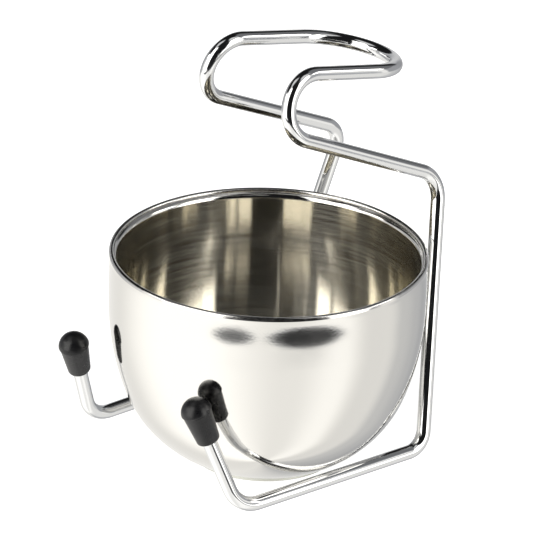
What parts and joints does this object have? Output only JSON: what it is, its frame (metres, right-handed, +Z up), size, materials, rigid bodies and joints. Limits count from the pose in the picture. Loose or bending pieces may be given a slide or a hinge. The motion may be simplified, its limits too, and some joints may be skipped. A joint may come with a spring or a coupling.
{
  "type": "shaving mug and brush stand",
  "caption": "Double-walled steel shaving bowl standing in a bent-wire stand with rubber-tipped front legs and an open fork above the bowl that hangs the brush.",
  "frame": {"origin": "on the table at the middle of the bowl's foot, on the bowl's axis", "axes": "+Z up, +Y towards the closed back of the brush fork and the uprights, -Y towards the open front with the capped tips, +X to the right seen from the front"},
  "size_m": [0.1, 0.1077, 0.1328],
  "materials": {
    "outer_shell": "mirror polished stainless steel",
    "inner_shell": "circumferentially brushed stainless steel with a polished lip",
    "foot": "polished stainless steel",
    "wire_stand": "bright chrome",
    "rubber": "satin black rubber"
  },
  "bodies": {
    "stand": {"wire_stand": "wire_stand", "tip_cap_left": "rubber", "tip_cap_right": "rubber"},
    "bowl": {"outer_shell": "outer_shell", "inner_shell": "inner_shell", "foot": "foot"}
  },
  "joints": [
    {"name": "bowl_lift", "type": "slide", "parent": "stand", "child": "bowl", "axis": [0, 0, 1], "range_m": [0, 0.018]}
  ]
}
